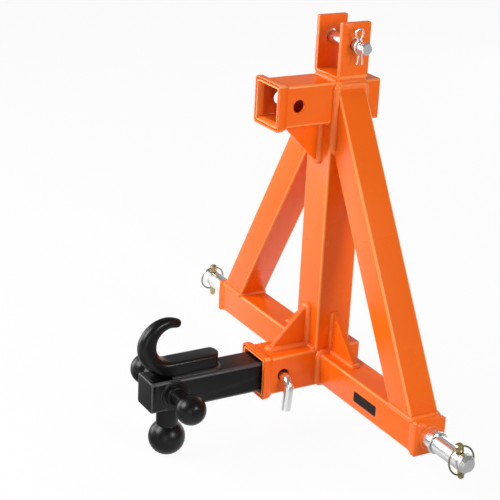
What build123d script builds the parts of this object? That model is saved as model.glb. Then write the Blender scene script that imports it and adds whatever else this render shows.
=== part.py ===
# Three-point tractor hitch frame with two square receivers and a three-ball mount with a tow hook.
# Millimetres, +Z up. X runs along the cross tube, -Y is the side of the receiver mouths.
# The origin is midway between the two lower lift pins, on their common axis.
import os
from math import asin, atan2, cos, degrees, radians, sin, sqrt, tan

from build123d import *

# Frame tubes
frame_tube = 50.8              # outer size of the cross tube and the two legs
frame_wall = 4.8
frame_corner = 3.2             # outer corner radius
mast_tube = 63.5               # outer size of the upright and the two receivers
mast_wall = 4.8                # wall of the upright
mast_corner = 3.2
least_inner_round = 1.2        # inside corners are never sharper
cross_half_length = 302.7      # centre to the outer face of an end plate
end_plate_size = 55.0          # a little larger than the tube it closes
end_plate_thickness = 8.0
end_plate_corner = 2.2
upper_receiver_height = 444.0  # axis of the upper receiver above the lift pins
leg_top_inset = 6.45           # a leg's outer edge meets the receiver this far below its top

# Receivers
receiver_wall = 5.95
bore_corner = 2.5
receiver_mouth = -129.0        # Y of the mouth
receiver_rear = 53.0           # Y of the rear end
mouth_flare = 3.0              # widening of the bore at the mouth, each side
mouth_flare_length = 13.0
collar_thickness = 4.55        # band round the mouth
collar_fit = 0.2               # band to tube, each side
collar_length = 16.5
collar_slope = 7.2             # length of the sloping rear shoulder
collar_rear_lip = 0.6          # what the slope leaves at the rear edge
collar_groove = 2.2            # width of the groove between the band's front edge and the tube
collar_groove_depth = 5.5
collar_corner = 4.6
pin_hole_from_mouth = 38.0
receiver_pin_hole = 20.6

# Gussets
gusset_thickness = 8.0
gusset_reach = 68.0
gusset_rise = 68.0
gusset_nose = 4.5              # blunt tips

# Top clevis
clevis_outer_width = 72.0
clevis_plate = 8.0
clevis_depth = 50.8            # front to back
clevis_height = 90.5
clevis_bend = 11.0             # outer bend radius
clevis_corner = 1.6
top_pin_height = 56.5          # pin axis above the receiver top
top_pin_hole = 22.0

# Pins
hitch_pin_size = 15.9
top_pin_size = 19.0
seat_gap = 0.3                 # a pin lies this far off what it rests on
shank_pin_clearance = 0.4
top_pin_tail = 31.2            # plain end past the clevis
top_pin_head = 28.0
top_pin_head_length = 9.0
top_pin_head_round = 2.5
top_pin_side_gap = 12.0        # head to plate, the pin has side play
top_clip_standoff = 14.0       # spring clip past the clevis
pin_chamfer = 1.6
handle_bend = 15.0             # centre-line radius of the bent handle
handle_drop = 50.5             # end of the handle below the pin axis
handle_clearance = 8.0         # handle past the side of the collar
handle_lean = 5.0              # degrees, the handle hangs a little forwards
hitch_pin_tail = 24.0          # pin past the receiver on the clip side
hitch_clip_inset = 11.0        # clip to the pin's tail end

# Spring clips
clip_wire = 3.0
clip_hole_clearance = 0.4
clip_wrap_gap = 0.3
clip_wrap_ease = 1.2           # the wrap's arcs are this much tighter than the pin's own curve
clip_neck = 1.0                # the straight leg runs this far past the pin before it turns out
clip_neck_rise = 8.0           # height in which it turns out to the loop
clip_bulge = 4.7               # how far the loop stands out past the straight leg
clip_loop = 12.6               # mean width of the loop
clip_loop_height = 12.0        # pin to the start of the loop's round top
clip_loop_side = 9.75          # length of the loop's sprung side
clip_loop_round = 6.0
clip_neck_round = 4.3          # where the loop turns in to the wrap
clip_end_round = 3.6
clip_tail = 18.0               # straight leg below the pin
clip_short = 2.0               # how much shorter the sprung leg is
clip_flare = 5.0               # how far the sprung leg's end stands away
top_clip_lean = 8.0            # degrees, the clip in the top pin hangs askew

# Lower lift pins
lift_pin_size = 28.6
lift_pin_length = 94.8         # past the end plate
lift_pin_chamfer = 4.2         # radial, at the free end
lift_pin_chamfer_length = 6.0
shoulder_size = 35.0
shoulder_length = 22.0
shoulder_round = 2.0
spigot_size = 22.0
spigot_fit = 0.2
right_lift_pin_turn = 10.0     # degrees, the right pin with its linch pin was set askew
linch_inset = 21.5             # linch pin to the lift pin's free end
linch_shaft = 9.5
linch_hole_clearance = 0.35
linch_tip = 33.0               # tip below the lift pin axis
linch_tip_chamfer = 2.8
linch_head = 12.6
linch_head_length = 19.0
linch_head_chamfer = 1.5
linch_waist = 11.0             # narrower lower half of the head
linch_seat = 7.0               # spot face above the lift pin axis
spot_face_clearance = 0.8
ring_hinge_above_seat = 13.5
ring_radius = 21.8
ring_wire = 2.8
ring_bore_clearance = 0.1

# Ball mount
shank_clearance = 0.5          # bar to receiver, each side
shank_wall = 6.4
shank_corner = 4.5
shank_front = -322.0
shank_rear = -40.0
shank_cap_thickness = 6.0
shank_cap_round = 2.0
ball_inset = 40.0              # axes of the three balls behind the bar's front
right_ball = 47.6
left_ball = 50.8
lower_ball = 58.7
ball_reach = 53.0              # bar face to the centre of a side ball
lower_ball_reach = 57.6
ball_flat = 0.44               # flat at the pole, as a share of the ball's radius
flange_size = 47.0
flange_thickness = 4.0
flange_chamfer = 1.0
step_size = 35.0
step_thickness = 5.5
step_chamfer = 1.5
neck_share = 0.60              # neck to ball diameter
neck_round = 3.0

# Tow hook
hook_width = 36.0
hook_base = 25.6               # height of the flat shank of the hook
hook_shank_corner = 16.0       # plan radius at the rear of the shank
hook_inset = 43.0              # centre of the throat behind the bar's front
hook_shank_length = 81.0       # throat centre to the rear end
hook_throat = 26.5             # inner radius
hook_back = 30.0               # bar thickness at the back of the bend
hook_tip_width = 15.0
hook_tip_thickness = 14.5
hook_tip_angle = 75.0          # where the bar ends, degrees from the +Y direction
hook_edge_share = 0.20         # corner radius of the flat shank, as a share of its thickness
hook_round_share = 0.47        # the same once the bar is round
hook_rounding = 0.25           # share of the bend in which the bar becomes round
hook_taper_power = 1.2         # over 1, the width goes slowly at first
hook_sections = 10
nose_sections = (0.5, 0.8, 0.96)   # places along the rounded nose

half_mast = mast_tube / 2
half_frame = frame_tube / 2
receiver_bore = mast_tube - 2 * receiver_wall
shank_size = receiver_bore - 2 * shank_clearance
half_shank = shank_size / 2
collar_inner = mast_tube + 2 * collar_fit
collar_outer = collar_inner + 2 * collar_thickness
upper_bottom = upper_receiver_height - half_mast
upper_top = upper_receiver_height + half_mast
leg_lean = degrees(atan2(cross_half_length - half_mast, upper_top - leg_top_inset))
pin_hole_place = receiver_mouth + pin_hole_from_mouth
hitch_pin_drop = (receiver_pin_hole - hitch_pin_size) / 2 - seat_gap
hitch_clip_place = -half_mast - hitch_pin_tail + hitch_clip_inset
top_pin_drop = (top_pin_hole - top_pin_size) / 2 - seat_gap
top_pin_axis = upper_top + top_pin_height
top_hole_axis = top_pin_axis + top_pin_drop
top_clip_place = clevis_outer_width / 2 + top_clip_standoff
lift_pin_end = cross_half_length + lift_pin_length
linch_place = lift_pin_end - linch_inset
ring_hinge = linch_seat + ring_hinge_above_seat
ball_axis = shank_front + ball_inset
throat_centre = shank_front + hook_inset
from_base = (Align.CENTER, Align.CENTER, Align.MIN)


def square_tube(size, wall, corner, length):
    """Tube along local Z, from 0 to length."""
    inner = size - 2 * wall
    inner_round = max(corner - wall, least_inner_round)
    outline = RectangleRounded(size, size, corner) - RectangleRounded(inner, inner, inner_round)
    return extrude(outline, length)


def along_y(shape, start):
    """Turns a shape built along Z so that it runs along +Y from the given place."""
    return Pos(0, start, 0) * Rot(-90, 0, 0) * shape


def along_x(shape, start):
    """Turns a shape built along Z so that it runs along +X from the given place."""
    return Pos(start, 0, 0) * Rot(0, 90, 0) * shape


def receiver(height):
    length = receiver_rear - receiver_mouth
    outline = RectangleRounded(mast_tube, mast_tube, mast_corner)
    outline -= RectangleRounded(receiver_bore, receiver_bore, bore_corner)
    tube = along_y(extrude(outline, length), receiver_mouth)
    funnel = along_y(
        loft([
            RectangleRounded(receiver_bore + 2 * mouth_flare, receiver_bore + 2 * mouth_flare, bore_corner),
            Pos(0, 0, mouth_flare_length) * RectangleRounded(receiver_bore, receiver_bore, bore_corner),
        ]),
        receiver_mouth,
    )
    hole = Pos(0, pin_hole_place, 0) * Rot(0, 90, 0) * Cylinder(receiver_pin_hole / 2, 2 * mast_tube)
    return Pos(0, 0, height) * (tube - funnel - hole)


def collar(height):
    """Reinforcing band round a receiver's mouth, with a groove in front and a sloping shoulder behind."""
    inner = collar_inner
    band = extrude(RectangleRounded(collar_outer, collar_outer, collar_corner), collar_length)
    rise = collar_thickness - collar_rear_lip
    rear = band.faces().sort_by(Axis.Z)[-1]
    band = chamfer(rear.edges(), length=rise, length2=collar_slope, reference=rear)
    band -= extrude(RectangleRounded(inner, inner, mast_corner + collar_fit), collar_length)
    groove = loft([
        RectangleRounded(inner + 2 * collar_groove, inner + 2 * collar_groove, mast_corner + collar_groove),
        Pos(0, 0, collar_groove_depth) * RectangleRounded(inner, inner, mast_corner + collar_fit),
    ])
    band -= groove
    return Pos(0, 0, height) * along_y(band, receiver_mouth)


def upright():
    length = upper_bottom - half_mast
    return Pos(0, 0, half_mast) * square_tube(mast_tube, mast_wall, mast_corner, length)


def right_leg():
    lean = radians(leg_lean)
    footprint = frame_tube / cos(lean)
    foot_centre = cross_half_length - footprint / 2
    overrun = frame_tube * 2
    length = (foot_centre - half_mast) / sin(lean) + 2 * overrun
    bar = Pos(0, 0, -overrun) * square_tube(frame_tube, frame_wall, frame_corner, length)
    bar = Pos(foot_centre, 0, 0) * Rot(0, -leg_lean, 0) * bar
    reach = 4 * cross_half_length
    keep = Pos(half_mast, -reach / 2, half_frame) * Box(
        reach, reach, reach, align=(Align.MIN, Align.MIN, Align.MIN))
    return bar & keep


def right_cross_tube():
    length = cross_half_length - end_plate_thickness - half_mast
    return along_x(square_tube(frame_tube, frame_wall, frame_corner, length), half_mast)


def right_end_plate():
    outline = RectangleRounded(end_plate_size, end_plate_size, end_plate_corner)
    plate = extrude(outline, end_plate_thickness)
    plate -= Cylinder(spigot_size / 2 + spigot_fit, 3 * end_plate_thickness)
    return along_x(plate, cross_half_length - end_plate_thickness)


def gusset():
    """Triangle in the local XY plane, right angle at the origin, reaching along +X and rising along +Y."""
    outline = make_face(Polyline(
        (0, 0), (gusset_reach, 0), (gusset_reach, gusset_nose),
        (gusset_nose, gusset_rise), (0, gusset_rise), close=True))
    return extrude(outline, gusset_thickness / 2, both=True)


def top_clevis():
    outer = clevis_outer_width / 2
    inner = outer - clevis_plate
    sheet = Pos(0, clevis_height / 2) * Rectangle(clevis_outer_width, clevis_height)
    sheet = fillet(sheet.vertices().group_by(Axis.Y)[0], clevis_bend)
    gap = Pos(0, clevis_plate + clevis_height / 2) * Rectangle(2 * inner, clevis_height)
    gap = fillet(gap.vertices().group_by(Axis.Y)[0], clevis_bend - clevis_plate)
    body = extrude(Plane.XZ * (sheet - gap), clevis_depth / 2, both=True)
    top_corners = body.edges().filter_by(Axis.X).group_by(Axis.Z)[-1]
    body = fillet(top_corners, clevis_corner)
    body = Pos(0, 0, upper_top) * body
    return body - Pos(0, 0, top_hole_axis) * Rot(0, 90, 0) * Cylinder(top_pin_hole / 2, 3 * outer)


def top_link_pin():
    head_face = -clevis_outer_width / 2 - top_pin_side_gap
    end = clevis_outer_width / 2 + top_pin_tail
    pin = along_x(Cylinder(top_pin_size / 2, end - head_face, align=from_base), head_face)
    pin = chamfer(pin.edges().sort_by(Axis.X)[-1], pin_chamfer)
    head = Cylinder(top_pin_head / 2, top_pin_head_length, align=from_base)
    head = along_x(head, head_face - top_pin_head_length)
    head = fillet(head.edges().sort_by(Axis.X)[0], top_pin_head_round)
    clip_bore = Cylinder(clip_wire / 2 + clip_hole_clearance, 3 * top_pin_size)
    clip_bore = Pos(top_clip_place, 0, 0) * Rot(top_clip_lean, 0, 0) * clip_bore
    return Pos(0, 0, top_pin_axis) * (pin + head - clip_bore)


def swept_wire(path, size):
    section = Plane(origin=path @ 0, z_dir=path % 0) * Circle(size / 2)
    return sweep(section, path=path)


def spring_clip(pin_size):
    """Clip in the YZ plane about the pin's centre: a straight leg through the pin, a loop, a sprung leg."""
    wrap = pin_size / 2 + clip_wire / 2 + clip_wrap_gap
    step = wrap * tan(radians(22.5))
    low = -pin_size / 2 - clip_tail
    high = pin_size / 2 + clip_loop_height + clip_loop / 2
    neck = pin_size / 2 + clip_neck
    far_side = clip_bulge - clip_loop
    corners = [
        (0, low), (0, neck), (clip_bulge, neck + clip_neck_rise),
        (clip_bulge, high), (far_side, high), (far_side, high - clip_loop_side),
        (-step, wrap), (-wrap, step), (-wrap, -step), (-step, -wrap),
        (-step - clip_flare, low + clip_short),
    ]
    wrap_round = wrap - clip_wrap_ease
    rounds = [clip_neck_round, clip_neck_round, clip_loop_round, clip_loop_round, clip_neck_round,
              clip_end_round, wrap_round, wrap_round, clip_end_round]
    return swept_wire(Plane.YZ * FilletPolyline(*corners, radius=rounds), clip_wire)


def top_pin_clip():
    place = Pos(top_clip_place, 0, top_pin_axis)
    return place * Rot(top_clip_lean, 0, 0) * spring_clip(top_pin_size)


def hitch_pin():
    tail = -half_mast - hitch_pin_tail
    leg = collar_outer / 2 + handle_clearance + hitch_pin_size / 2
    path = FilletPolyline((tail, 0), (leg, 0), (leg, -handle_drop), radius=handle_bend)
    pin = swept_wire(Plane.XZ * path, hitch_pin_size)
    pin = chamfer(pin.edges().sort_by(Axis.X)[0], pin_chamfer)
    pin = chamfer(pin.edges().sort_by(Axis.Z)[0], pin_chamfer / 2)
    clip_bore = Pos(hitch_clip_place, 0, 0) * Cylinder(
        clip_wire / 2 + clip_hole_clearance, 3 * hitch_pin_size)
    return Pos(0, pin_hole_place, -hitch_pin_drop) * Rot(-handle_lean, 0, 0) * (pin - clip_bore)


def hitch_pin_clip():
    """Hangs with its loop down."""
    place = Pos(hitch_clip_place, pin_hole_place, -hitch_pin_drop)
    return place * Rot(180 - handle_lean, 0, 0) * spring_clip(hitch_pin_size)


def right_lift_pin():
    spigot_length = end_plate_thickness + shoulder_round
    spigot = Cylinder(spigot_size / 2, spigot_length, align=from_base)
    spigot = along_x(spigot, cross_half_length - spigot_length)
    shoulder = along_x(Cylinder(shoulder_size / 2, shoulder_length, align=from_base), cross_half_length)
    shoulder = fillet(shoulder.edges().sort_by(Axis.X)[-1], shoulder_round)
    body_start = cross_half_length + shoulder_length
    body = along_x(Cylinder(lift_pin_size / 2, lift_pin_end - body_start, align=from_base), body_start)
    end = body.faces().sort_by(Axis.X)[-1]
    body = chamfer(end.edges(), length=lift_pin_chamfer, length2=lift_pin_chamfer_length, reference=end)
    hole = Pos(linch_place, 0, 0) * Cylinder(linch_shaft / 2 + linch_hole_clearance, 2 * lift_pin_size)
    spot_face = Pos(linch_place, 0, linch_seat) * Cylinder(
        linch_head / 2 + spot_face_clearance, lift_pin_size, align=from_base)
    return spigot + shoulder + body - hole - spot_face


def right_linch_pin():
    shaft = Pos(0, 0, -linch_tip) * Cylinder(linch_shaft / 2, linch_tip + linch_seat, align=from_base)
    shaft = chamfer(shaft.edges().sort_by(Axis.Z)[0], linch_tip_chamfer)
    half_head = linch_head_length / 2
    waist = Pos(0, 0, linch_seat) * Cylinder(linch_waist / 2, half_head, align=from_base)
    head = Pos(0, 0, linch_seat + half_head) * Cylinder(linch_head / 2, half_head, align=from_base)
    head = chamfer(head.edges().sort_by(Axis.Z)[-1], linch_head_chamfer)
    bore = Cylinder(ring_wire / 2 + ring_bore_clearance, 2 * linch_head)
    bore = Pos(0, 0, ring_hinge) * Rot(90, 0, 0) * bore
    return Pos(linch_place, 0, 0) * (shaft + waist + head - bore)


def right_linch_ring():
    """Sprung ring round the lift pin, turned out past the linch pin's tip on its hinge through the head."""
    half_chord = linch_head / 2 + ring_bore_clearance
    drop = sqrt(ring_radius ** 2 - half_chord ** 2)
    opening = degrees(asin(half_chord / ring_radius))
    tilt = degrees(asin((linch_shaft / 2 + ring_wire / 2 + seat_gap) / (ring_radius + drop)))
    profile = Pos(0, ring_radius) * Circle(ring_wire / 2)
    ring = Rot(90 + opening, 0, 0) * revolve(profile, Axis.X, 360 - 2 * opening)
    ring = Pos(0, 0, -drop) * ring
    ring += Rot(90, 0, 0) * Cylinder(ring_wire / 2, 2 * half_chord)
    for side in (-half_chord, half_chord):
        ring += Pos(0, side, 0) * Sphere(ring_wire / 2)
    return Pos(linch_place, 0, ring_hinge) * Rot(0, -tilt, 0) * ring


def ball(size, reach, flanged):
    """Hitch ball on its neck along local Z, from the shank face at 0."""
    neck = size * neck_share
    head = Pos(0, 0, reach) * Sphere(size / 2)
    flat = sqrt((size / 2) ** 2 - (ball_flat * size / 2) ** 2)
    head -= Pos(0, 0, reach + flat) * Cylinder(size, size, align=from_base)
    shape = Cylinder(neck / 2, reach, align=from_base) + head
    shape = fillet(shape.edges().filter_by(GeomType.CIRCLE).group_by(Axis.Z)[1], neck_round)
    if flanged:
        flange = Cylinder(flange_size / 2, flange_thickness, align=from_base)
        flange = chamfer(flange.edges().sort_by(Axis.Z)[-1], flange_chamfer)
        step = Cylinder(step_size / 2, flange_thickness + step_thickness, align=from_base)
        step = chamfer(step.edges().sort_by(Axis.Z)[-1], step_chamfer)
        shape = shape + flange + step
    return shape


def right_tow_ball():
    return Pos(half_shank, ball_axis, 0) * Rot(0, 90, 0) * ball(right_ball, ball_reach, True)


def left_tow_ball():
    return Pos(-half_shank, ball_axis, 0) * Rot(0, -90, 0) * ball(left_ball, ball_reach, True)


def lower_tow_ball():
    return Pos(0, ball_axis, -half_shank) * Rot(180, 0, 0) * ball(lower_ball, lower_ball_reach, False)


def ball_mount_shank():
    start = shank_front + shank_cap_thickness
    tube = along_y(square_tube(shank_size, shank_wall, shank_corner, shank_rear - start), start)
    hole = Pos(0, pin_hole_place, -hitch_pin_drop) * Rot(0, 90, 0) * Cylinder(
        hitch_pin_size / 2 + shank_pin_clearance, 2 * shank_size)
    return tube - hole


def shank_front_cap():
    cap = extrude(RectangleRounded(shank_size, shank_size, shank_corner), shank_cap_thickness)
    cap = fillet(cap.edges().group_by(Axis.Z)[0], shank_cap_round)
    return along_y(cap, shank_front)


def hook_size(angle):
    """Thickness, width and corner radius of the hook's bar at an angle round the throat."""
    share = (270 - angle) / (270 - hook_tip_angle)
    if angle > 180:
        part = (270 - angle) / 90
        thickness = hook_base + (hook_back - hook_base) * part
    else:
        part = (180 - angle) / (180 - hook_tip_angle)
        thickness = hook_back + (hook_tip_thickness - hook_back) * part
    width = hook_width + (hook_tip_width - hook_width) * share ** hook_taper_power
    rounding = min(1, share / hook_rounding)
    corner = (hook_edge_share + (hook_round_share - hook_edge_share) * rounding) * min(width, thickness)
    return thickness, width, corner


def tow_hook():
    """Flat shank welded along the bar, rising into a round bar that tapers round the throat to its tip."""
    throat_height = half_shank + hook_base + hook_throat
    sections = []
    for count in range(hook_sections + 1):
        angle = 270 - (270 - hook_tip_angle) * count / hook_sections
        thickness, width, corner = hook_size(angle)
        turn = radians(angle)
        radius = hook_throat + thickness / 2
        centre = Vector(0, throat_centre + radius * cos(turn), throat_height + radius * sin(turn))
        ahead = Vector(0, sin(turn), -cos(turn))
        plane = Plane(origin=centre, x_dir=(1, 0, 0), z_dir=ahead)
        sections.append(plane * RectangleRounded(width, thickness, corner))
    for share in nose_sections:
        place = Plane(origin=centre + ahead * share * hook_tip_thickness / 2, x_dir=(1, 0, 0), z_dir=ahead)
        size = sqrt(1 - share ** 2)
        sections.append(place * RectangleRounded(width * size, thickness * size, corner * size))
    bend = loft(sections)
    thickness, width, corner = hook_size(270)
    start = Plane(origin=(0, throat_centre, half_shank + hook_base / 2), x_dir=(1, 0, 0), z_dir=(0, 1, 0))
    shank = extrude(start * RectangleRounded(width, thickness, corner), hook_shank_length)
    plan = Pos(0, throat_centre + hook_shank_length / 2) * Rectangle(hook_width, hook_shank_length)
    plan = fillet(plan.vertices().group_by(Axis.Y)[-1], hook_shank_corner)
    shank = shank & extrude(plan, half_shank + 2 * hook_base)
    return shank + bend


def mirrored(shape):
    return mirror(shape, Plane.YZ)


def build_frame():
    upper_gusset = Plane(origin=(0, -half_mast, upper_bottom), x_dir=(0, -1, 0), z_dir=(1, 0, 0))
    lower_gusset = Plane(origin=(0, -half_mast, half_mast), x_dir=(0, -1, 0), z_dir=(-1, 0, 0))
    side_gusset = Plane(origin=(half_mast, 0, half_frame), x_dir=(1, 0, 0), z_dir=(0, -1, 0))
    nodes = {
        "lower_receiver_tube": receiver(0),
        "lower_receiver_collar": collar(0),
        "upper_receiver_tube": receiver(upper_receiver_height),
        "upper_receiver_collar": collar(upper_receiver_height),
        "upright_tube": upright(),
        "upper_front_gusset": upper_gusset * gusset(),
        "lower_front_gusset": lower_gusset * gusset(),
        "top_clevis": top_clevis(),
    }
    paired = {
        "leg": right_leg(),
        "cross_tube": right_cross_tube(),
        "end_plate": right_end_plate(),
        "side_gusset": side_gusset * gusset(),
        "lift_pin": right_lift_pin(),
        "linch_pin": right_linch_pin(),
        "linch_ring": right_linch_ring(),
    }
    for name, shape in paired.items():
        nodes["right_" + name] = shape
        nodes["left_" + name] = mirrored(shape)
    for name in ("lift_pin", "linch_pin", "linch_ring"):
        nodes["right_" + name] = Rot(right_lift_pin_turn, 0, 0) * paired[name]
    return nodes


def build_pins_and_mount():
    return {
        "top_link_pin": top_link_pin(),
        "top_pin_clip": top_pin_clip(),
        "hitch_pin": hitch_pin(),
        "hitch_pin_clip": hitch_pin_clip(),
        "ball_mount_shank": ball_mount_shank(),
        "shank_front_cap": shank_front_cap(),
        "right_tow_ball": right_tow_ball(),
        "left_tow_ball": left_tow_ball(),
        "lower_tow_ball": lower_tow_ball(),
        "tow_hook": tow_hook(),
    }


os.makedirs("parts", exist_ok=True)
for name, shape in {**build_frame(), **build_pins_and_mount()}.items():
    export_step(shape, f"parts/{name}.step")
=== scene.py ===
import math

import bmesh
import bpy
from mathutils import Matrix, Vector


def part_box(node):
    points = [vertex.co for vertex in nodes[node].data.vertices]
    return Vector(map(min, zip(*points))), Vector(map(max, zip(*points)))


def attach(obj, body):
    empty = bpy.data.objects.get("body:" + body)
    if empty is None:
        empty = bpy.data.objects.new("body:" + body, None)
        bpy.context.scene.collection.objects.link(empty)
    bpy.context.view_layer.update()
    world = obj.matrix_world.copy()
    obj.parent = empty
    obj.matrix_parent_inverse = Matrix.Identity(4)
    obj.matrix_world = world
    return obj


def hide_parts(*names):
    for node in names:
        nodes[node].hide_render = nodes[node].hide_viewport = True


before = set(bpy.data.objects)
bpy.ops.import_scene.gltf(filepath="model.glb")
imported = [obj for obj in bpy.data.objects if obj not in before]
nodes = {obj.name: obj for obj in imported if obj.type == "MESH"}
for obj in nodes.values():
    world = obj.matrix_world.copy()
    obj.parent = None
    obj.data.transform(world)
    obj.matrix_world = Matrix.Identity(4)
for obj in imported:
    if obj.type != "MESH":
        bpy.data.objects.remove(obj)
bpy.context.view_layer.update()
print("hitch frame loaded:", len(nodes), "solids")

mm = 0.001
xAxis = Vector((1, 0, 0))      # along the cross tube
yAxis = Vector((0, 1, 0))      # away from the receivers' mouths
zAxis = Vector((0, 0, 1))


# Node sockets as Python values

fineDetail = 2.0               # octaves of every fine pattern


class Wire:
    def __init__(self, finish, socket):
        self.finish = finish
        self.socket = socket

    def maths(self, operation, *values):
        return self.finish.node("ShaderNodeMath", {"operation": operation}, dict(enumerate(values)))

    def __add__(self, other):
        return self.maths("ADD", self, other)

    def __radd__(self, other):
        return self.maths("ADD", other, self)

    def __sub__(self, other):
        return self.maths("SUBTRACT", self, other)

    def __rsub__(self, other):
        return self.maths("SUBTRACT", other, self)

    def __mul__(self, other):
        return self.maths("MULTIPLY", self, other)

    def __rmul__(self, other):
        return self.maths("MULTIPLY", other, self)

    def __truediv__(self, other):
        return self.maths("DIVIDE", self, other)

    def __rtruediv__(self, other):
        return self.maths("DIVIDE", other, self)

    def __abs__(self):
        return self.maths("ABSOLUTE", self)

    def sine(self):
        return self.maths("SINE", self)

    def near(self, centre, reach):
        # 1 where the value lies within reach of the centre, else 0
        away = abs(self - centre)
        return away.maths("LESS_THAN", away, reach)


class Finish:
    def __init__(self, tree, start):
        self.tree = tree
        self.start = start     # the node that the finish ends in

    def node(self, kind, settings, sockets, output=0):
        made = self.tree.nodes.new(kind)
        for name, value in settings.items():
            if name == "stops":
                ramp = made.color_ramp
                while len(ramp.elements) < len(value):
                    ramp.elements.new(0.5)
                for element, (place, colour) in zip(ramp.elements, value):
                    element.position = place
                    element.color = colour
            else:
                setattr(made, name, value)
        self.plug(made, sockets)
        return Wire(self, made.outputs[output])

    def plug(self, node, sockets):
        for name, value in sockets.items():
            if isinstance(value, Wire):
                self.tree.links.new(value.socket, node.inputs[name])
            else:
                node.inputs[name].default_value = value

    def place(self):
        return self.node("ShaderNodeTexCoord", {}, {}, "Object")

    def axes(self, place):
        return [self.node("ShaderNodeSeparateXYZ", {}, {0: place}, name) for name in "XYZ"]

    def noise(self, scale, detail=fineDetail, place=None):
        sockets = {"Vector": place or self.place(), "Scale": scale, "Detail": detail}
        return self.node("ShaderNodeTexNoise", {}, sockets, "Fac")

    def vectorMaths(self, operation, sockets, output=0):
        return self.node("ShaderNodeVectorMath", {"operation": operation}, sockets, output)

    def ramp(self, value, stops):
        return self.node("ShaderNodeValToRGB", {"stops": stops}, {0: value}, "Color")

    def mix(self, amount, first, second):
        return self.node("ShaderNodeMix", {"data_type": "RGBA"}, {0: amount, 6: first, 7: second}, 2)

    def bump(self, height, distance):
        return self.node("ShaderNodeBump", {}, {"Height": height, "Distance": distance}, "Normal")

    def stored(self, name):
        return self.node("ShaderNodeAttribute", {"attribute_name": name}, {}, "Fac")

    def lightPath(self, name):
        return self.node("ShaderNodeLightPath", {}, {}, name)


def newFinish(name):
    material = bpy.data.materials.new(name)
    material.use_nodes = True
    tree = material.node_tree
    return material, Finish(tree, tree.nodes["Principled BSDF"])


def shade(value):
    return (value, value, value, 1.0)


# Finishes, with scales per metre

highlightName = "edgeShare"         # stored on pieces: how near a place is to a corner's ridge, and so how much painted highlight the coat gets there

frameCoatLook = {
    "colour": (0.90, 0.145, 0.0035, 1.0),
    "deepColour": (0.86, 0.122, 0.0025, 1.0),
    "edgeHighlightColour": (0.94, 0.27, 0.060, 1.0),       # painted highlight over rounded corners and beads
    "boreShadeColour": (0.30, 0.011, 0.0008, 1.0),     # painted shade in the receivers' bores
    "boreShadeShare": 0.45,          # how far it shows at the mouth
    "boreShadeFade": 0.45,           # and how much more at the far end
    "boreEase": 1.2 * mm,       # from the side of the bar to past the bore's wall
    "specular": 0.32,
    "cloudScale": 9.0,
    "cloudDetail": 3.0,
    "peelScale": 420.0,
    "peelsPerRipple": 6,
    "rippleShare": 2.0,         # height of the ripples, with the peel's as 1
    "peelDepth": 0.035 * mm,
    "roughness": 0.27,
    "roughnessSpread": 0.10,
}


def makeFrameCoat():
    look = frameCoatLook
    material, finish = newFinish("frameCoat")
    across, along, height = finish.axes(finish.place())
    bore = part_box("ball_mount_shank")[1][0] + look["boreEase"]
    # painted shade in both receivers' bores, darker towards their far ends
    inside = 0.0
    for name in ("lower_receiver_tube", "upper_receiver_tube"):
        low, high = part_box(name)
        share = look["boreShadeShare"] + (along - low[1]) / (high[1] - low[1]) * look["boreShadeFade"]
        inside = inside + across.near(0.0, bore) * height.near((low[2] + high[2]) / 2, bore) * share
    clouds = finish.noise(look["cloudScale"], look["cloudDetail"])
    peel = finish.noise(look["peelScale"])
    ripple = finish.noise(look["peelScale"] / look["peelsPerRipple"])
    coat = finish.mix(clouds, look["deepColour"], look["colour"])
    # painted highlight along rounded corners and beads
    outside = finish.mix(finish.stored(highlightName), coat, look["edgeHighlightColour"])
    finish.plug(finish.start, {
        "Base Color": finish.mix(inside, outside, look["boreShadeColour"]),
        "Specular IOR Level": look["specular"],
        "Roughness": look["roughness"] + (clouds - 0.5) * look["roughnessSpread"],
        "Normal": finish.bump(peel + ripple * look["rippleShare"], look["peelDepth"]),
    })
    return material


mountCoatLook = {
    "colour": (0.0016, 0.0016, 0.0018, 1.0),
    "dustColour": (0.0030, 0.0030, 0.0032, 1.0),
    # painted highlight along rounded corners and beads
    "edgeHighlightColour": (0.060, 0.060, 0.062, 1.0),
    "specular": 0.28,
    "cloudScale": 24.0,
    "cloudDetail": 4.0,
    "grainScale": 1100.0,
    "grainsPerDent": 9,
    "dentShare": 3.0,           # height of the dents, with the grain's as 1
    "grainDepth": 0.006 * mm,
    "roughness": 0.31,
    "roughnessSpread": 0.08,
}


def makeMountCoat():
    look = mountCoatLook
    material, finish = newFinish("mountCoat")
    clouds = finish.noise(look["cloudScale"], look["cloudDetail"])
    grain = finish.noise(look["grainScale"])
    dents = finish.noise(look["grainScale"] / look["grainsPerDent"])
    coat = finish.mix(clouds, look["colour"], look["dustColour"])
    finish.plug(finish.start, {
        # painted highlight along rounded corners and beads
        "Base Color": finish.mix(finish.stored(highlightName), coat, look["edgeHighlightColour"]),
        "Specular IOR Level": look["specular"],
        "Roughness": look["roughness"] + (clouds - 0.5) * look["roughnessSpread"],
        "Normal": finish.bump(grain + dents * look["dentShare"], look["grainDepth"]),
    })
    return material


zincLook = {
    "colour": (0.95, 0.95, 0.96, 1.0),
    "dullColour": (0.84, 0.84, 0.85, 1.0),
    "cloudScale": 60.0,
    "cloudDetail": 5.0,
    "fineness": 20,             # scale of the fine grain, in cloud scales
    "fineShare": 0.6,           # height of the fine grain
    "turningShare": 0.5,        # and of the lathe lines
    "turningPitch": 0.9 * mm,
    "turningDepth": 0.012 * mm,
    "roughness": 0.24,
    "roughnessSpread": 0.16,
    "crease": 325.3 * mm,       # from the middle to where a lift pin leaves its shoulder, where a dark line of shade is painted
    "creaseReach": 0.5 * mm,
    "creaseShadeColour": (0.16, 0.16, 0.17, 1.0),
}


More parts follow.
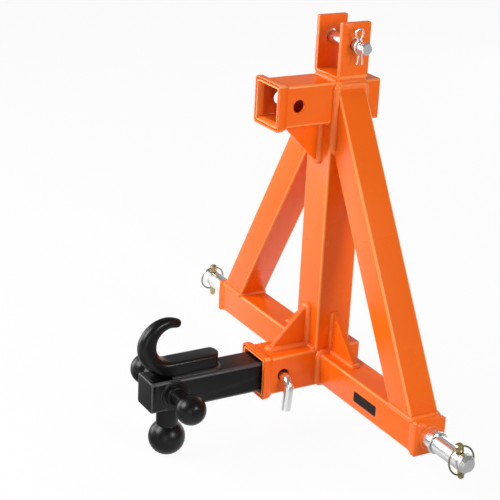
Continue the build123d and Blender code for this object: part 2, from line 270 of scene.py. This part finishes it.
def makeZinc(name, turned):
    look = zincLook
    material, finish = newFinish(name)
    place = finish.place()
    clouds = finish.noise(look["cloudScale"], look["cloudDetail"], place)
    height = finish.noise(look["cloudScale"] * look["fineness"], place=place) * look["fineShare"]
    plating = finish.mix(clouds, look["dullColour"], look["colour"])
    if turned:    # fine lathe lines round the X axis
        along = finish.axes(place)[0]
        lines = (along * (math.tau / look["turningPitch"])).sine()
        height = height + lines * look["turningShare"]
        # painted shade: a dark line in the crease where a lift pin leaves its shoulder
        crease = abs(along).near(look["crease"], look["creaseReach"])
        plating = finish.mix(crease, plating, look["creaseShadeColour"])
    finish.plug(finish.start, {
        "Base Color": plating,
        "Roughness": look["roughness"] + (clouds - 0.5) * look["roughnessSpread"],
        "Metallic": 1.0,
        "Normal": finish.bump(height, look["turningDepth"]),
    })
    return material


yellowZincLook = {
    "stops": [
        (0.30, (0.36, 0.27, 0.10, 1.0)),
        (0.45, (0.56, 0.43, 0.19, 1.0)),
        (0.58, (0.50, 0.44, 0.24, 1.0)),
        (0.72, (0.60, 0.40, 0.25, 1.0)),
    ],
    "cloudScale": 95.0,
    "cloudDetail": 4.0,
    "fineness": 12,
    "roughness": 0.27,
    "roughnessSpread": 0.2,
    "grainDepth": 0.020 * mm,
}


def makeYellowZinc():
    look = yellowZincLook
    material, finish = newFinish("yellowZinc")
    clouds = finish.noise(look["cloudScale"], look["cloudDetail"])
    fine = finish.noise(look["cloudScale"] * look["fineness"])
    finish.plug(finish.start, {
        "Base Color": finish.ramp(clouds, look["stops"]),
        "Roughness": look["roughness"] + (fine - 0.5) * look["roughnessSpread"],
        "Metallic": 1.0,
        "Normal": finish.bump(fine, look["grainDepth"]),
    })
    return material


springWireLook = {
    "colour": (0.24, 0.215, 0.135, 1.0),
    "paleColour": (0.36, 0.33, 0.24, 1.0),
    "cloudScale": 130.0,
    "cloudDetail": 4.0,
    "fineness": 10,
    "roughness": 0.33,
    "roughnessSpread": 0.2,
    "drawDepth": 0.010 * mm,
}


def makeSpringWire():
    look = springWireLook
    material, finish = newFinish("springWire")
    clouds = finish.noise(look["cloudScale"], look["cloudDetail"])
    fine = finish.noise(look["cloudScale"] * look["fineness"])
    finish.plug(finish.start, {
        "Base Color": finish.mix(clouds, look["colour"], look["paleColour"]),
        "Roughness": look["roughness"] + (clouds - 0.5) * look["roughnessSpread"],
        "Metallic": 1.0,
        "Normal": finish.bump(fine, look["drawDepth"]),
    })
    return material


blankPlateLook = {
    "colour": (0.010, 0.006, 0.006, 1.0),
    "paleColour": shade(0.014),
    "specular": 0.10,
    "cloudScale": 180.0,
    "cloudDetail": 3.0,
    "roughness": 0.42,
    "roughnessSpread": 0.12,
    "grainDepth": 0.020 * mm,
}


def makeBlankPlateFoil():
    look = blankPlateLook
    material, finish = newFinish("blankPlateFoil")
    clouds = finish.noise(look["cloudScale"], look["cloudDetail"])
    finish.plug(finish.start, {
        "Base Color": finish.mix(clouds, look["colour"], look["paleColour"]),
        "Specular IOR Level": look["specular"],
        "Roughness": look["roughness"] + (clouds - 0.5) * look["roughnessSpread"],
        "Normal": finish.bump(clouds, look["grainDepth"]),
    })
    return material


frameCoat = makeFrameCoat()
mountCoat = makeMountCoat()
turnedZinc = makeZinc("turnedZinc", True)
plainZinc = makeZinc("plainZinc", False)
yellowZinc = makeYellowZinc()
springWire = makeSpringWire()
blankPlateFoil = makeBlankPlateFoil()
print("finishes made")


# Mesh helpers

def addPiece(name, mesh, material, replaced=()):
    mesh.materials.clear()
    mesh.materials.append(material)
    piece = bpy.data.objects.new(name, mesh)
    bpy.context.scene.collection.objects.link(piece)
    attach(piece, "hitch_frame")
    if replaced:
        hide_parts(*replaced)


def meshOf(name, work):
    mesh = bpy.data.meshes.new(name)
    work.to_mesh(mesh)
    work.free()
    return mesh


def evaluatedMesh(piece):
    graph = bpy.context.evaluated_depsgraph_get()
    return bpy.data.meshes.new_from_object(piece.evaluated_get(graph))


def softened(mesh, width, angle, segments):
    shaper = bpy.data.objects.new("shaper", mesh)
    bpy.context.scene.collection.objects.link(shaper)
    bevel = shaper.modifiers.new("edges", "BEVEL")
    bevel.width = width
    bevel.segments = segments
    bevel.limit_method = "ANGLE"
    bevel.angle_limit = math.radians(angle)
    bevel.harden_normals = True
    done = evaluatedMesh(shaper)
    bpy.data.objects.remove(shaper)
    return done


def boxOf(name):
    low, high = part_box(name)
    return Vector(low), Vector(high)


def bridged(work, rings):
    made = [[work.verts.new(point) for point in ring] for ring in rings]
    for outer, inner in zip(made, made[1:]):
        for index in range(len(outer)):
            after = (index + 1) % len(outer)
            work.faces.new((outer[index], outer[after], inner[after], inner[index]))
    return made


def roundedLoop(centre, across, along, halfAcross, halfAlong, corner, steps=6):
    points = []
    for index, (first, second) in enumerate([(1, 1), (-1, 1), (-1, -1), (1, -1)]):
        for step in range(steps + 1):
            turn = (index + step / steps) * math.pi / 2
            u = first * (halfAcross - corner) + corner * math.cos(turn)
            v = second * (halfAlong - corner) + corner * math.sin(turn)
            points.append(centre + across * u + along * v)
    return points


def ringPoints(centre, across, along, radius, steps=48):
    turns = [step / steps * math.tau for step in range(steps)]
    return [centre + (across * math.cos(turn) + along * math.sin(turn)) * radius for turn in turns]


# Frame and mount from their solids, with sharp edges eased and a painted highlight along the rounded
# corners

easingLook = {
    "weld": 0.004 * mm,         # points nearer than this become one
    "flatAngle": 0.6,           # degrees, up to which faces become one
    "sharpAngle": 28.0,         # degrees, past which an edge is eased
    "segments": 3,
    "flatShare": 0.02,          # a direction that holds more of the surface counts as flat
    "flatCosine": 0.9986,       # of the turn from it, up to which a face counts as flat too
    "sideShare": 0.5,           # of a face's longest side: only such sides tell its curve
}


def markEdges(work):
    # 1 along the middle of rounded outer corners, 0 on the flat faces beside them; the coats paint a
    # highlight where it is 1
    look = easingLook
    share = work.loops.layers.float.new(highlightName)
    areas = {}
    for face in work.faces:
        way = tuple(round(part, 2) for part in face.normal)
        areas[way] = areas.get(way, 0.0) + face.calc_area()
    leastArea = look["flatShare"] * sum(areas.values())
    flat = [Vector(way).normalized() for way, area in areas.items() if area > leastArea]
    rounded = set()
    for face in work.faces:
        if any(face.normal.dot(way) > look["flatCosine"] for way in flat):
            continue
        leastLength = look["sideShare"] * max(edge.calc_length() for edge in face.edges)
        sides = [edge for edge in face.edges if edge.calc_length() > leastLength]
        if min(edge.calc_face_angle_signed(0.0) for edge in sides) > 0.0:
            rounded.add(face)
    for face in rounded:
        for corner in face.loops:
            ridge = len(rounded.intersection(corner.vert.link_faces)) > 1
            corner[share] = 1.0 if ridge else 0.0


def dressedCopy(name, width, marked):
    look = easingLook
    work = bmesh.new()
    work.from_mesh(nodes[name].data)
    bmesh.ops.remove_doubles(work, verts=work.verts, dist=look["weld"])
    bmesh.ops.dissolve_limit(
        work, angle_limit=math.radians(look["flatAngle"]), use_dissolve_boundaries=False,
        verts=work.verts, edges=work.edges)
    for face in work.faces:
        face.smooth = True
    if marked:
        markEdges(work)
    return softened(meshOf(name + "Dressed", work), width, look["sharpAngle"], look["segments"])


roundPieces = ["right_tow_ball", "left_tow_ball", "lower_tow_ball", "tow_hook"]
coats = {
    "frame_coat": {"material": frameCoat, "easing": 0.8 * mm, "solids": [
        "lower_receiver_tube", "lower_receiver_collar", "upper_receiver_tube", "upper_receiver_collar",
        "upright_tube", "upper_front_gusset", "lower_front_gusset", "top_clevis",
        "right_leg", "left_leg", "right_cross_tube", "left_cross_tube",
        "right_end_plate", "left_end_plate", "right_side_gusset", "left_side_gusset"]},
    "mount_coat": {"material": mountCoat, "easing": 0.6 * mm, "solids": [
        "ball_mount_shank", "shank_front_cap", *roundPieces]},
}
bareMetals = {
    "right_lift_pin": turnedZinc, "left_lift_pin": turnedZinc, "top_link_pin": turnedZinc,
    "top_pin_clip": plainZinc, "hitch_pin": plainZinc, "hitch_pin_clip": plainZinc,
    "right_linch_pin": yellowZinc, "left_linch_pin": yellowZinc,
    "right_linch_ring": springWire, "left_linch_ring": springWire,
}
for slot, coat in coats.items():
    for name in coat["solids"]:
        mesh = dressedCopy(name, coat["easing"], name not in roundPieces)
        addPiece(name + "Coated", mesh, coat["material"], [name])
for name, material in bareMetals.items():
    nodes[name].data.materials.clear()
    nodes[name].data.materials.append(material)
print("solids dressed")


# Weld beads

beadLook = {
    "pitch": 3.0 * mm,          # from ripple to ripple
    "stepsPerRipple": 4,
    "depth": 0.10,              # of a ripple, as a share of the bead's radius
    "wander": 0.7 * mm,
    "wanderScale": 90.0,        # per metre
    "seed": 7.0,
    "sides": 10,                # of a bead's section
    "tipShare": 0.55,           # of its radius, where an open bead ends
    "edgeShare": 0.42,          # how much painted highlight a bead gets
}


def beadTree():
    look = beadLook
    group = bpy.data.node_groups.new("weldBeads", "GeometryNodeTree")
    group.is_modifier = True
    face = group.interface
    face.new_socket("Geometry", in_out="INPUT", socket_type="NodeSocketGeometry")
    for name in ("Ripple Pitch", "Ripple Depth", "Wander", "Seed"):
        face.new_socket(name, in_out="INPUT", socket_type="NodeSocketFloat")
    face.new_socket("Coat", in_out="INPUT", socket_type="NodeSocketMaterial")
    face.new_socket("Geometry", in_out="OUTPUT", socket_type="NodeSocketGeometry")
    start = group.nodes.new("NodeGroupInput")
    end = group.nodes.new("NodeGroupOutput")
    make = Finish(group, end)
    given = {socket.name: Wire(make, socket) for socket in start.outputs if socket.name}
    pitch = given["Ripple Pitch"]
    step = pitch / look["stepsPerRipple"]
    path = make.node("GeometryNodeResampleCurve", {"mode": "LENGTH"},
                     {"Curve": given["Geometry"], "Length": step})
    here = make.node("GeometryNodeInputPosition", {}, {})
    drift = make.node("ShaderNodeTexNoise", {"noise_dimensions": "4D"},
                      {"Vector": here, "W": given["Seed"], "Scale": look["wanderScale"]}, "Color")
    drift = make.vectorMaths("SUBTRACT", {0: drift, 1: (0.5, 0.5, 0.5)})
    drift = make.vectorMaths("SCALE", {0: drift, "Scale": given["Wander"]})
    path = make.node("GeometryNodeSetPosition", {}, {"Geometry": path, "Offset": drift})
    run = make.node("GeometryNodeSplineParameter", {}, {}, "Length")
    swell = abs((run / pitch * math.pi).sine())
    size = make.node("GeometryNodeInputRadius", {}, {})
    size = size * (1.0 - given["Ripple Depth"] * (1.0 - swell))
    section = make.node("GeometryNodeCurvePrimitiveCircle", {},
                        {"Resolution": look["sides"], "Radius": 1.0})
    beads = make.node("GeometryNodeCurveToMesh", {},
                      {"Curve": path, "Profile Curve": section, "Scale": size, "Fill Caps": True})
    beads = make.node("GeometryNodeSetShadeSmooth", {}, {"Geometry": beads})
    beads = make.node("GeometryNodeStoreNamedAttribute", {"data_type": "FLOAT", "domain": "POINT"},
                      {"Geometry": beads, "Name": highlightName, "Value": look["edgeShare"]})
    beads = make.node("GeometryNodeRealizeInstances", {}, {"Geometry": beads})
    beads = make.node("GeometryNodeSetMaterial", {}, {"Geometry": beads, "Material": given["Coat"]})
    make.plug(end, {"Geometry": beads})
    return group


def makeBeads(name, beads, material):
    look = beadLook
    curve = bpy.data.curves.new(name, "CURVE")
    curve.dimensions = "3D"
    for points, radius, closed in beads:
        spline = curve.splines.new("POLY")
        spline.points.add(len(points) - 1)
        spline.use_cyclic_u = closed
        for point, place in zip(spline.points, points):
            point.co = (*place, 1.0)
            point.radius = radius
        if not closed:
            spline.points[0].radius = radius * look["tipShare"]
            spline.points[-1].radius = radius * look["tipShare"]
    holder = bpy.data.objects.new(name, curve)
    bpy.context.scene.collection.objects.link(holder)
    modifier = holder.modifiers.new("beads", "NODES")
    modifier.node_group = beadTree()
    values = {"Ripple Pitch": look["pitch"], "Ripple Depth": look["depth"], "Wander": look["wander"],
              "Seed": look["seed"], "Coat": material}
    for item in modifier.node_group.interface.items_tree:
        if item.name in values:
            modifier[item.identifier] = values[item.name]
    mesh = evaluatedMesh(holder)
    bpy.data.objects.remove(holder)
    addPiece(name, mesh, material)


frameBeadLook = {
    "corner": 7.6 * mm,         # radius of the beads of the cross tube, the upright and the receivers
    "leg": 7.98 * mm,           # of a leg to the upright
    "legTurn": 7.0 * mm,        # and how round its path is at the leg's corners
    "crossTurn": 5.0 * mm,
    "foot": 5.4 * mm,           # of the low bead of a leg's foot
    "footTurn": 4.0 * mm,
    "footSunk": 2.0 * mm,       # how deep that bead's centre lies
    "shoulder": 2.2 * mm,
    "sideGusset": 5.2 * mm,
    "frontGusset": 7.4 * mm,
    "gussetHeel": 1.01,         # how far a gusset's bead goes, as shares of its length and height
    "gussetTip": 0.955,
    "gussetPeak": 0.97,
    "bend": 6.5 * mm,           # under a bend of the clevis
    "bendInset": 1.2 * mm,
    "bendDrop": 1.5 * mm,
    "clevis": 6.84 * mm,        # before and behind the clevis
    "clevisHalf": 28.0 * mm,
    "uprightEnd": 3.0 * mm,     # what the bead leaves free at the upright's corners
}


def gussetPath(corner, reach, rise, halfThick):
    # out along one face of the gusset, round its heel, back, and up and over its tip the same way
    look = frameBeadLook
    tip = rise * look["gussetTip"]
    return [
        corner + halfThick, corner + halfThick + reach, corner + reach * look["gussetHeel"],
        corner - halfThick + reach, corner - halfThick,
        corner - halfThick + tip, corner + rise * look["gussetPeak"], corner + halfThick + tip]


def frameBeads():
    look = frameBeadLook
    mastLow, mastHigh = boxOf("upright_tube")
    legLow, legHigh = boxOf("right_leg")
    clevisLow, clevisHigh = boxOf("top_clevis")
    gussetLow, gussetHigh = boxOf("right_side_gusset")
    mast = mastHigh.x
    half = boxOf("right_cross_tube")[1].y
    plateFace = boxOf("right_end_plate")[1].x
    shoulder = boxOf("right_lift_pin")[1].z
    lean = math.atan2(legHigh.x - legLow.x, legHigh.z - legLow.z)
    footWidth = 2 * half / math.cos(lean)
    topHeight = 2 * half / math.sin(lean)
    beads = []
    for side in (1, -1):
        wall = xAxis * mast * side
        # leg to receiver and upright
        top = wall + zAxis * (legHigh.z - topHeight / 2)
        path = roundedLoop(top, yAxis, zAxis, half, topHeight / 2, look["legTurn"])
        beads.append((path, look["leg"], True))
        # cross tube to receiver
        path = roundedLoop(wall, yAxis, zAxis, half, half, look["crossTurn"])
        beads.append((path, look["corner"], True))
        # leg to cross tube
        foot = xAxis * side * (legHigh.x - footWidth / 2) + zAxis * half
        path = roundedLoop(foot, xAxis, yAxis, footWidth / 2, half - look["footSunk"], look["footTurn"])
        beads.append((path, look["foot"], True))
        # lift pin's shoulder to end plate
        path = ringPoints(xAxis * side * plateFace, yAxis, zAxis, shoulder)
        beads.append((path, look["shoulder"], True))
        # side gusset
        path = gussetPath(wall + zAxis * half, xAxis * side * (gussetHigh.x - gussetLow.x),
                          zAxis * (gussetHigh.z - gussetLow.z), yAxis * gussetHigh.y)
        beads.append((path, look["sideGusset"], True))
        # clevis to receiver, under its bends
        under = xAxis * side * (mast - look["bendInset"]) + zAxis * (clevisLow.z - look["bendDrop"])
        path = [under + yAxis * y for y in (clevisLow.y, 0, clevisHigh.y)]
        beads.append((path, look["bend"], False))
        # front and back of the upright, at both receivers
        end = mast - look["uprightEnd"]
        for height in (mastLow.z, mastHigh.z):
            path = [xAxis * x + yAxis * mast * side + zAxis * height for x in (-end, 0, end)]
            beads.append((path, look["corner"], False))
        # front and back of the clevis
        end = look["clevisHalf"]
        path = [xAxis * x + yAxis * clevisHigh.y * side + zAxis * clevisLow.z for x in (-end, 0, end)]
        beads.append((path, look["clevis"], False))
    for name, height, way in (("lower_front_gusset", mastLow.z, 1),
                              ("upper_front_gusset", mastHigh.z, -1)):
        low, high = boxOf(name)
        path = gussetPath(-yAxis * mast + zAxis * height, -yAxis * (high.y - low.y),
                          zAxis * way * (high.z - low.z), xAxis * high.x)
        beads.append((path, look["frontGusset"], True))
    return beads


mountBeadLook = {
    "hook": 6.2 * mm,           # radius of the bead round the hook's shank
    "hookStart": 86.0 * mm,     # where it begins, from the shank's rear end
    "hookMiddle": 45.0 * mm,
    "hookTurn": 16.0 * mm,      # plan radius at the rear end
    "turnSteps": 8,
    "flange": 1.8 * mm,         # round the flange of a side ball
    "flangeRing": 23.5 * mm,
    "neck": 4.0 * mm,           # round the neck of the lower ball
    "neckRing": 17.6 * mm,
}


def mountBeads():
    look = mountBeadLook
    half = boxOf("ball_mount_shank")[1].z
    edge, rear = boxOf("tow_hook")[1].xy
    turnRadius = look["hookTurn"]
    path = [(-edge, rear - back) for back in (look["hookStart"], look["hookMiddle"], turnRadius)]
    for step in range(1, look["turnSteps"]):
        turn = math.pi - step / look["turnSteps"] * math.pi / 2
        x = -edge + turnRadius + turnRadius * math.cos(turn)
        path.append((x, rear - turnRadius + turnRadius * math.sin(turn)))
    path.append((-edge + turnRadius, rear))
    path += [(-x, y) for x, y in reversed(path)]
    beads = [([Vector((x, y, half)) for x, y in path], look["hook"], False)]
    for name, side in (("right_tow_ball", 1), ("left_tow_ball", -1)):
        low, high = boxOf(name)
        centre = Vector((side * half, (low.y + high.y) / 2, 0))
        beads.append((ringPoints(centre, yAxis, zAxis, look["flangeRing"]), look["flange"], True))
    low, high = boxOf("lower_tow_ball")
    centre = Vector((0, (low.y + high.y) / 2, -half))
    beads.append((ringPoints(centre, xAxis, yAxis, look["neckRing"]), look["neck"], True))
    return beads


legWeldLook = {
    "section": [(-6.0, 25.0), (-3.0, 31.5), (-1.0, 30.2), (2.0, 28.9),
                (5.5, 28.3), (9.0, 28.1), (11.0, 27.4), (11.0, 25.0)],    # mm, out from the leg and up
    "rippled": (27.0, 32.0),    # the heights between which it is uneven
    "ripple": 0.5 * mm,
    "waves": [(46.0, 0.6, 1.0), (17.3, 0.4, 0.0)],    # turn along it, share, shift from side to side
    "steps": 44,
    "inset": 1.2 * mm,
    "easing": 0.5 * mm,
    "sharpAngle": 35.0,
    "segments": 2,
}


def makeLegWelds():
    # the flat fill between a leg's foot and the top edge of its end plate
    look = legWeldLook
    legHigh = boxOf("right_leg")[1]
    half = legHigh.y - look["inset"]
    bottom, top = look["rippled"]
    work = bmesh.new()
    for side in (1, -1):
        rings = []
        for step in range(look["steps"] + 1):
            share = step / look["steps"]
            swell = sum(math.sin(share * turn + side * shift) * part
                        for turn, part, shift in look["waves"])
            ring = []
            for x, z in look["section"]:
                lift = look["ripple"] * swell if bottom < z < top else 0.0
                ring.append((side * (legHigh.x + x * mm), (2 * share - 1) * half, z * mm + lift))
            rings.append(ring)
        made = bridged(work, rings)
        work.faces.new(made[0])
        work.faces.new(list(reversed(made[-1])))
    bmesh.ops.recalc_face_normals(work, faces=work.faces)
    for face in work.faces:
        face.smooth = True
    mesh = softened(meshOf("legWelds", work), look["easing"], look["sharpAngle"], look["segments"])
    addPiece("legWelds", mesh, frameCoat)


plateWeldLook = {
    "length": 10.0 * mm,        # along the cross tube
    "short": 0.25 * mm,         # of the plate's face
    "depth": 3.0 * mm,          # into the tube's wall
    "corner": 3.0 * mm,
    "weld": 0.01 * mm,          # points nearer than this become one
}


def makePlateWelds():
    # the ground fill that slopes from the cross tube up to its end plate, all round
    look = plateWeldLook
    tube = boxOf("right_cross_tube")[1].y
    plateLow, plateHigh = boxOf("right_end_plate")
    start = plateLow.x - look["length"]
    end = plateLow.x + look["depth"] / 2
    rise = plateHigh.y - look["short"]
    inner = tube - look["depth"]
    outline = ((start, inner), (start, tube), (end, rise), (end, inner), (start, inner))
    work = bmesh.new()
    for side in (1, -1):
        bridged(work, [roundedLoop(xAxis * side * x, yAxis, zAxis, half, half, look["corner"])
                       for x, half in outline])
    bmesh.ops.remove_doubles(work, verts=work.verts, dist=look["weld"])
    bmesh.ops.recalc_face_normals(work, faces=work.faces)
    addPiece("plateWelds", meshOf("plateWelds", work), frameCoat)


makeBeads("frameBeads", frameBeads(), frameCoat)
makeBeads("mountBeads", mountBeads(), mountCoat)
makeLegWelds()
makePlateWelds()
print("weld beads laid")


# Bare plate on the cross tube

plateLook = {
    "left": 138.5 * mm,
    "right": 198.0 * mm,
    "bottom": -10.8 * mm,
    "top": 6.0 * mm,
    "thickness": 0.5 * mm,
    "corner": 1.5 * mm,
    "border": 1.6 * mm,
    "rim": [(0, 0), (0, 1), (0.15, 1.15), (0.85, 1.15), (1, 0.85)],    # shares of border and thickness
}


def makePlate():
    look = plateLook
    face = boxOf("right_cross_tube")[0].y
    centre = Vector(((look["left"] + look["right"]) / 2, face, (look["top"] + look["bottom"]) / 2))
    halfWide = (look["right"] - look["left"]) / 2
    halfHigh = (look["top"] - look["bottom"]) / 2
    rings = []
    for inset, out in look["rim"]:
        rim = look["border"] * inset
        rings.append(roundedLoop(centre - yAxis * look["thickness"] * out, xAxis, zAxis,
                                 halfWide - rim, halfHigh - rim, look["corner"]))
    work = bmesh.new()
    made = bridged(work, rings)
    work.faces.new(made[-1])
    work.faces.new(list(reversed(made[0])))
    bmesh.ops.recalc_face_normals(work, faces=work.faces)
    addPiece("blankPlate", meshOf("blankPlate", work), blankPlateFoil)


makePlate()
print("bare plate set")


# Camera, lights and floor

cameraPlace = {
    "azimuth": -30.6407,        # degrees, from +X towards +Y
    "elevation": 20.8573,
    "roll": 2.8287,
    "distance": 2.42827,
    "target": (-0.203078, -0.0254, 0.121613),
    "pictureWidth": 500,        # pixels
    "focalPixels": 1401.04,     # focal length, in the same pixels
    "sensorWidth": 36.0,
}


def makeCamera():
    look = cameraPlace
    turn = math.radians(look["azimuth"])
    rise = math.radians(look["elevation"])
    roll = math.radians(look["roll"])
    away = Vector((math.cos(rise) * math.cos(turn), math.cos(rise) * math.sin(turn), math.sin(rise)))
    right = (-away).cross(zAxis).normalized()
    up = right.cross(-away)
    across = right * math.cos(roll) + up * math.sin(roll)
    above = up * math.cos(roll) - right * math.sin(roll)
    lens = bpy.data.cameras.new("photoCamera")
    lens.sensor_width = look["sensorWidth"]
    lens.lens = look["focalPixels"] / look["pictureWidth"] * lens.sensor_width
    camera = bpy.data.objects.new("photoCamera", lens)
    place = Matrix((across, above, away)).transposed().to_4x4()
    place.translation = Vector(look["target"]) + away * look["distance"]
    camera.matrix_world = place
    bpy.context.scene.collection.objects.link(camera)
    bpy.context.scene.camera = camera


lampTarget = Vector((0, 0, 0.2))
softLights = {
    "frontLight": {"place": (-0.7, -2.3, 1.75), "size": 1.4, "power": 73.0},
    "leftLight": {"place": (-2.2, -1.6, 0.55), "size": 1.4, "power": 27.0},
    "rightLight": {"place": (2.5, 0.5, 1.3), "size": 0.9, "power": 35.0},
    "fillLight": {"place": (2.5, -1.9, 0.7), "size": 1.4, "power": 12.0},
    "rearLight": {"place": (-1.3, 2.6, 0.6), "size": 1.8, "power": 20.0},
}


def makeLights():
    for name, look in softLights.items():
        lamp = bpy.data.lights.new(name, "AREA")
        lamp.shape = "SQUARE"
        lamp.size = look["size"]
        lamp.energy = look["power"]
        holder = bpy.data.objects.new(name, lamp)
        holder.location = look["place"]
        holder.rotation_euler = (lampTarget - holder.location).to_track_quat("-Z", "Y").to_euler()
        bpy.context.scene.collection.objects.link(holder)


def seenShare(finish):
    # 1 for what the camera, metal and glass see, 0 for what lights the object
    return (finish.lightPath("Is Camera Ray") + finish.lightPath("Is Glossy Ray")
            + finish.lightPath("Is Transmission Ray"))


worldLook = {
    "strength": 0.22,
    "seenStrength": 1.0,
    "panel": (-0.80, -0.48, 0.36),     # the way to a white panel that metal sees
    "mirrorStops": [
        (0.10, shade(0.22)),
        (0.70, shade(0.42)),
        (0.84, shade(0.14)),
        (0.89, shade(0.22)),
        (0.94, shade(1.0)),
    ],
}


def makeWorld():
    look = worldLook
    world = bpy.data.worlds.new("studio")
    world.use_nodes = True
    finish = Finish(world.node_tree, world.node_tree.nodes["Background"])
    heading = finish.node("ShaderNodeTexCoord", {}, {}, "Generated")
    toPanel = finish.vectorMaths("DOT_PRODUCT", {0: heading, 1: look["panel"]}, 1)
    mirrored = finish.ramp(toPanel, look["mirrorStops"])
    brighter = look["seenStrength"] - look["strength"]
    finish.plug(finish.start, {
        "Color": finish.mix(finish.lightPath("Is Glossy Ray"), shade(1.0), mirrored),
        "Strength": look["strength"] + seenShare(finish) * brighter,
    })
    bpy.context.scene.world = world


floorLook = {
    "height": -0.1130,
    "half": 9.0,
    "colour": 0.80,
    "roughness": 0.9,
    "whiteness": 0.94,
    # what metal sees of it, from left front to right rear
    "mirrorWay": (0.8, 0.6),
    "mirrorReach": 1.3,
    "mirrorMiddle": 0.5,
    "mirrorStops": [(0.50, shade(1.0)), (0.70, shade(0.40))],
    # and outwards from the shade by the tow balls
    "shadePlace": (-0.12, -0.45, 0.0),
    "shadeStops": [(0.10, shade(0.12)), (0.34, shade(1.0))],
}


def makeFloor():
    look = floorLook
    half = look["half"]
    mesh = bpy.data.meshes.new("floor")
    corners = [(-half, -half), (half, -half), (half, half), (-half, half)]
    mesh.from_pydata([(x, y, look["height"]) for x, y in corners], [], [(0, 1, 2, 3)])
    floor = bpy.data.objects.new("floor", mesh)
    bpy.context.scene.collection.objects.link(floor)
    material, finish = newFinish("paleFloor")
    finish.plug(finish.start, {"Base Color": shade(look["colour"]), "Roughness": look["roughness"]})
    place = finish.place()
    across, along = finish.axes(place)[:2]
    rearwards = (across * look["mirrorWay"][0] + along * look["mirrorWay"][1]) / look["mirrorReach"]
    sideways = finish.ramp(rearwards + look["mirrorMiddle"], look["mirrorStops"])
    outwards = finish.vectorMaths("DISTANCE", {0: place, 1: look["shadePlace"]}, 1)
    level = sideways * finish.ramp(outwards, look["shadeStops"])
    strength = 1.0 + finish.lightPath("Is Glossy Ray") * (level - 1.0)
    glow = finish.node("ShaderNodeEmission", {}, {"Strength": strength}, "Emission")
    amount = seenShare(finish) * look["whiteness"]
    painted = Wire(finish, finish.start.outputs[0])
    mixed = finish.node("ShaderNodeMixShader", {}, {0: amount, 1: painted, 2: glow}, 0)
    finish.plug(finish.tree.nodes["Material Output"], {"Surface": mixed})
    mesh.materials.append(material)


makeCamera()
makeLights()
makeWorld()
makeFloor()
bpy.context.scene.view_settings.view_transform = "Standard"
print("camera, lights and floor placed")
